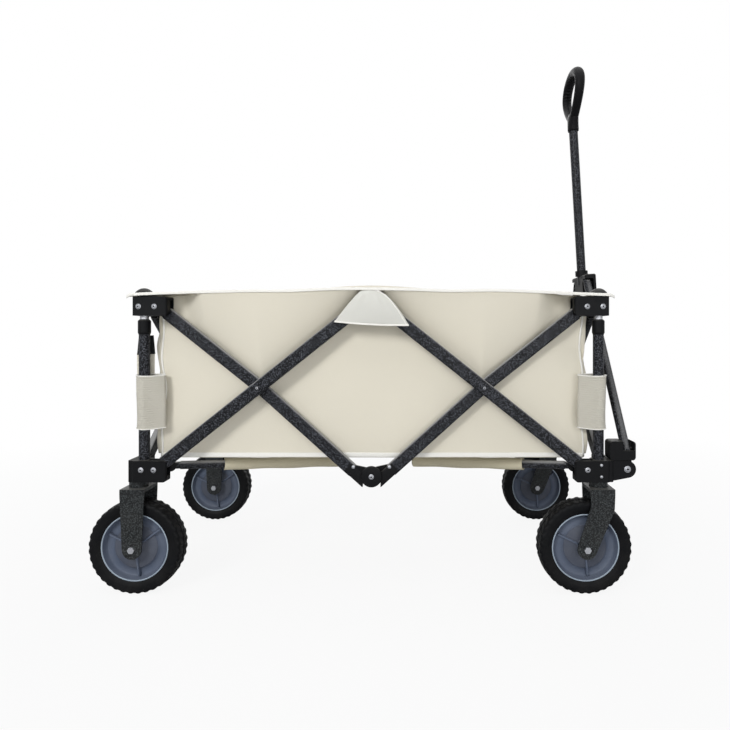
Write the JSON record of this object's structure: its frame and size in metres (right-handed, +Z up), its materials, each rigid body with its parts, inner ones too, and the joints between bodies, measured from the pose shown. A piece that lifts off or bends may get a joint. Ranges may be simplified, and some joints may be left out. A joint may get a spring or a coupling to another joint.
{
  "type": "wagon with pull handle",
  "caption": "Folding four-wheel utility wagon: fabric tub in a scissor frame with telescoping corner posts, swivel front casters and a tilting loop-grip pull handle.",
  "frame": {"origin": "on the ground, under the middle of the wagon's overall box", "axes": "+X forward towards the pull handle, +Y to the wagon's left, +Z up"},
  "size_m": [1.0266, 0.5012, 1.0902],
  "materials": {
    "tube_paint": "fine hammered charcoal paint",
    "bracket_plastic": "moulded black, satin",
    "fork_paint": "coarse hammered dark grey",
    "bare_steel": "plain bright steel",
    "tyre_rubber": "matte black",
    "hub_plastic": "moulded blue-grey",
    "cream_fabric": "woven cream polyester"
  },
  "bodies": {
    "rear_right_base": {"rear_right_low_bracket": "bracket_plastic", "rear_right_lower_post": "tube_paint", "rear_right_fork": "fork_paint", "floor_panel": "cream_fabric"},
    "rear_right_riser": {"rear_right_riser_bar": "tube_paint"},
    "rear_right_hanger": {"rear_right_hanger_bar": "tube_paint"},
    "rear_right_top": {"rear_right_high_bracket": "bracket_plastic", "rear_right_inner_post": "bare_steel", "right_panel": "cream_fabric", "rear_panel": "cream_fabric"},
    "rear_right_strut": {"rear_right_floor_strut": "tube_paint"},
    "rear_right_wheel": {"rear_right_tyre": "tyre_rubber", "rear_right_hub": "hub_plastic"},
    "front_right_riser": {"front_right_riser_bar": "tube_paint"},
    "front_right_hanger": {"front_right_hanger_bar": "tube_paint"},
    "front_right_base": {"front_right_low_bracket": "bracket_plastic", "front_right_lower_post": "tube_paint"},
    "front_right_top": {"front_right_high_bracket": "bracket_plastic", "front_right_inner_post": "bare_steel", "front_panel": "cream_fabric"},
    "front_right_strut": {"front_right_floor_strut": "tube_paint"},
    "front_right_wheel": {"front_right_tyre": "tyre_rubber", "front_right_hub": "hub_plastic"},
    "rear_left_riser": {"rear_left_riser_bar": "tube_paint"},
    "rear_left_hanger": {"rear_left_hanger_bar": "tube_paint"},
    "rear_left_base": {"rear_left_low_bracket": "bracket_plastic", "rear_left_lower_post": "tube_paint", "rear_left_fork": "fork_paint"},
    "rear_left_top": {"rear_left_high_bracket": "bracket_plastic", "rear_left_inner_post": "bare_steel", "left_panel": "cream_fabric"},
    "rear_left_strut": {"rear_left_floor_strut": "tube_paint"},
    "rear_left_wheel": {"rear_left_tyre": "tyre_rubber", "rear_left_hub": "hub_plastic"},
    "front_left_riser": {"front_left_riser_bar": "tube_paint"},
    "front_left_hanger": {"front_left_hanger_bar": "tube_paint"},
    "front_left_base": {"front_left_low_bracket": "bracket_plastic", "front_left_lower_post": "tube_paint"},
    "front_left_top": {"front_left_high_bracket": "bracket_plastic", "front_left_inner_post": "bare_steel"},
    "front_left_strut": {"front_left_floor_strut": "tube_paint"},
    "front_left_wheel": {"front_left_tyre": "tyre_rubber", "front_left_hub": "hub_plastic"},
    "rear_outer_end": {"rear_outer_end_bar": "tube_paint"},
    "rear_inner_end": {"rear_inner_end_bar": "tube_paint"},
    "front_outer_end": {"front_outer_end_bar": "tube_paint"},
    "front_inner_end": {"front_inner_end_bar": "tube_paint"},
    "right_handle_block": {"right_handle_block": "bracket_plastic"},
    "right_handle_leg": {"right_handle_leg": "tube_paint"},
    "left_handle_block": {"left_handle_block": "bracket_plastic"},
    "left_handle_leg": {"left_handle_leg": "tube_paint"},
    "handle_yoke": {"handle_yoke": "bracket_plastic", "pull_tube": "tube_paint", "grip": "bracket_plastic"},
    "front_right_swivel": {"front_right_fork": "fork_paint"},
    "front_left_swivel": {"front_left_fork": "fork_paint"}
  },
  "joints": [
    {"name": "fold", "type": "hinge", "parent": "rear_right_base", "child": "rear_right_riser", "pos_m": [-0.38981, -0.22513, 0.233], "axis": [0, -1, 0], "range_deg": [0, 36], "deforming": ["right_panel", "left_panel", "rear_panel", "front_panel", "floor_panel"]},
    {"name": "rear_right_hanger_turn", "type": "hinge", "parent": "rear_right_riser", "child": "rear_right_hanger", "pos_m": [-0.19768, -0.21763, 0.38583], "axis": [0, 1, 0], "range_deg": [0, 72.6]},
    {"name": "front_right_riser_turn", "type": "hinge", "parent": "rear_right_riser", "child": "front_right_riser", "pos_m": [0.0155, -0.22513, 0.5554], "axis": [0, 1, 0], "range_deg": [0, 72.6]},
    {"name": "front_right_hanger_turn", "type": "hinge", "parent": "front_right_riser", "child": "front_right_hanger", "pos_m": [0.22868, -0.21763, 0.38583], "axis": [0, -1, 0], "range_deg": [0, 72.6]},
    {"name": "front_right_base_level", "type": "hinge", "parent": "front_right_riser", "child": "front_right_base", "pos_m": [0.42081, -0.22513, 0.233], "axis": [0, -1, 0], "range_deg": [0, 36.6]},
    {"name": "front_right_top_level", "type": "hinge", "parent": "front_right_hanger", "child": "front_right_top", "pos_m": [0.42081, -0.21013, 0.53865], "axis": [0, 1, 0], "range_deg": [0, 36.6]},
    {"name": "rear_right_top_level", "type": "hinge", "parent": "rear_right_hanger", "child": "rear_right_top", "pos_m": [-0.38981, -0.21013, 0.53865], "axis": [0, -1, 0], "range_deg": [0, 36.6]},
    {"name": "rear_left_riser_turn", "type": "hinge", "parent": "rear_left_base", "child": "rear_left_riser", "pos_m": [-0.38981, 0.22513, 0.233], "axis": [0, -1, 0], "range_deg": [0, 36.6]},
    {"name": "rear_left_hanger_turn", "type": "hinge", "parent": "rear_left_riser", "child": "rear_left_hanger", "pos_m": [-0.19768, 0.21763, 0.38583], "axis": [0, 1, 0], "range_deg": [0, 72.6]},
    {"name": "front_left_riser_turn", "type": "hinge", "parent": "rear_left_riser", "child": "front_left_riser", "pos_m": [0.0155, 0.22513, 0.5554], "axis": [0, 1, 0], "range_deg": [0, 72.6]},
    {"name": "front_left_hanger_turn", "type": "hinge", "parent": "front_left_riser", "child": "front_left_hanger", "pos_m": [0.22868, 0.21763, 0.38583], "axis": [0, -1, 0], "range_deg": [0, 72.6]},
    {"name": "front_left_base_level", "type": "hinge", "parent": "front_left_riser", "child": "front_left_base", "pos_m": [0.42081, 0.22513, 0.233], "axis": [0, -1, 0], "range_deg": [0, 36.6]},
    {"name": "front_left_top_level", "type": "hinge", "parent": "front_left_hanger", "child": "front_left_top", "pos_m": [0.42081, 0.21013, 0.53865], "axis": [0, 1, 0], "range_deg": [0, 36.6]},
    {"name": "rear_outer_end_turn", "type": "hinge", "parent": "rear_right_base", "child": "rear_outer_end", "pos_m": [-0.42781, -0.19213, 0.233], "axis": [1, 0, 0], "range_deg": [0, 36.6]},
    {"name": "rear_inner_end_turn", "type": "hinge", "parent": "rear_outer_end", "child": "rear_inner_end", "pos_m": [-0.42031, 0, 0.38583], "axis": [-1, 0, 0], "range_deg": [0, 72.6]},
    {"name": "front_outer_end_turn", "type": "hinge", "parent": "front_right_base", "child": "front_outer_end", "pos_m": [0.45881, -0.19213, 0.233], "axis": [1, 0, 0], "range_deg": [0, 36.6]},
    {"name": "front_inner_end_turn", "type": "hinge", "parent": "front_outer_end", "child": "front_inner_end", "pos_m": [0.45131, 0, 0.38583], "axis": [-1, 0, 0], "range_deg": [0, 72.6]},
    {"name": "rear_left_base_level", "type": "hinge", "parent": "rear_inner_end", "child": "rear_left_base", "pos_m": [-0.41281, 0.19213, 0.233], "axis": [1, 0, 0], "range_deg": [0, 36.6]},
    {"name": "rear_left_top_level", "type": "hinge", "parent": "rear_outer_end", "child": "rear_left_top", "pos_m": [-0.42781, 0.19213, 0.53865], "axis": [-1, 0, 0], "range_deg": [0, 36.6]},
    {"name": "rear_right_strut_lift", "type": "hinge", "parent": "rear_right_base", "child": "rear_right_strut", "pos_m": [-0.37531, -0.19563, 0.233], "axis": [0.4283, -0.9036, 0], "range_deg": [0, 79.8]},
    {"name": "rear_left_strut_lift", "type": "hinge", "parent": "rear_left_base", "child": "rear_left_strut", "pos_m": [-0.37531, 0.19563, 0.233], "axis": [-0.4283, -0.9036, 0], "range_deg": [0, 79.8]},
    {"name": "front_right_strut_lift", "type": "hinge", "parent": "front_right_base", "child": "front_right_strut", "pos_m": [0.40631, -0.19563, 0.233], "axis": [0.4283, 0.9036, 0], "range_deg": [0, 79.8]},
    {"name": "front_left_strut_lift", "type": "hinge", "parent": "front_left_base", "child": "front_left_strut", "pos_m": [0.40631, 0.19563, 0.233], "axis": [-0.4283, 0.9036, 0], "range_deg": [0, 79.8]},
    {"name": "handle_tilt", "type": "hinge", "parent": "front_right_base", "child": "right_handle_block", "pos_m": [0.49731, -0.21763, 0.233], "axis": [0, 1, 0], "range_deg": [0, 95]},
    {"name": "left_block_tilt", "type": "hinge", "parent": "front_left_base", "child": "left_handle_block", "pos_m": [0.49731, 0.21763, 0.233], "axis": [0, 1, 0], "range_deg": [0, 95.5]},
    {"name": "right_leg_swing", "type": "hinge", "parent": "right_handle_block", "child": "right_handle_leg", "pos_m": [0.49831, -0.21763, 0.268], "axis": [0.9983, 0, 0.0576], "range_deg": [0, 20.95]},
    {"name": "left_leg_swing", "type": "hinge", "parent": "left_handle_block", "child": "left_handle_leg", "pos_m": [0.49831, 0.21763, 0.268], "axis": [-0.9983, 0, -0.0576], "range_deg": [0, 20.95]},
    {"name": "yoke_level", "type": "hinge", "parent": "right_handle_leg", "child": "handle_yoke", "pos_m": [0.4792, -0.04, 0.59945], "axis": [-0.9983, 0, -0.0576], "range_deg": [0, 20.95]},
    {"name": "front_right_swivel", "type": "hinge", "parent": "front_right_base", "child": "front_right_swivel", "pos_m": [0.44631, -0.21763, 0.21], "axis": [0, 0, 1], "continuous": true},
    {"name": "front_right_wheel", "type": "hinge", "parent": "front_right_swivel", "child": "front_right_wheel", "pos_m": [0.41731, -0.21763, 0.0875], "axis": [0, 1, 0], "continuous": true},
    {"name": "rear_right_wheel", "type": "hinge", "parent": "rear_right_base", "child": "rear_right_wheel", "pos_m": [-0.42581, -0.21763, 0.0875], "axis": [0, 1, 0], "continuous": true},
    {"name": "front_left_swivel", "type": "hinge", "parent": "front_left_base", "child": "front_left_swivel", "pos_m": [0.44631, 0.21763, 0.21], "axis": [0, 0, 1], "continuous": true},
    {"name": "front_left_wheel", "type": "hinge", "parent": "front_left_swivel", "child": "front_left_wheel", "pos_m": [0.41731, 0.21763, 0.0875], "axis": [0, 1, 0], "continuous": true},
    {"name": "rear_left_wheel", "type": "hinge", "parent": "rear_left_base", "child": "rear_left_wheel", "pos_m": [-0.42581, 0.21763, 0.0875], "axis": [0, 1, 0], "continuous": true}
  ],
  "couplings": [
    {"joint": "rear_right_hanger_turn", "follows": "fold", "ratio": 2},
    {"joint": "front_right_riser_turn", "follows": "fold", "ratio": 2},
    {"joint": "front_right_hanger_turn", "follows": "fold", "ratio": 2},
    {"joint": "front_right_base_level", "follows": "fold", "ratio": 1},
    {"joint": "front_right_top_level", "follows": "fold", "ratio": 1},
    {"joint": "rear_right_top_level", "follows": "fold", "ratio": 1},
    {"joint": "rear_left_riser_turn", "follows": "fold", "ratio": 1},
    {"joint": "rear_left_hanger_turn", "follows": "fold", "ratio": 2},
    {"joint": "front_left_riser_turn", "follows": "fold", "ratio": 2},
    {"joint": "front_left_hanger_turn", "follows": "fold", "ratio": 2},
    {"joint": "front_left_base_level", "follows": "fold", "ratio": 1},
    {"joint": "front_left_top_level", "follows": "fold", "ratio": 1},
    {"joint": "rear_outer_end_turn", "follows": "fold", "ratio": 1},
    {"joint": "rear_inner_end_turn", "follows": "fold", "ratio": 2},
    {"joint": "front_outer_end_turn", "follows": "fold", "ratio": 1},
    {"joint": "front_inner_end_turn", "follows": "fold", "ratio": 2},
    {"joint": "rear_left_base_level", "follows": "fold", "ratio": 1},
    {"joint": "rear_left_top_level", "follows": "fold", "ratio": 1},
    {"joint": "rear_right_strut_lift", "follows": "fold", "ratio": 2.2},
    {"joint": "rear_left_strut_lift", "follows": "fold", "ratio": 2.2},
    {"joint": "front_right_strut_lift", "follows": "fold", "ratio": 2.2},
    {"joint": "front_left_strut_lift", "follows": "fold", "ratio": 2.2},
    {"joint": "left_block_tilt", "follows": "handle_tilt", "ratio": 1},
    {"joint": "right_leg_swing", "follows": "fold", "ratio": 0.5652},
    {"joint": "left_leg_swing", "follows": "fold", "ratio": 0.5652},
    {"joint": "yoke_level", "follows": "fold", "ratio": 0.5652}
  ]
}
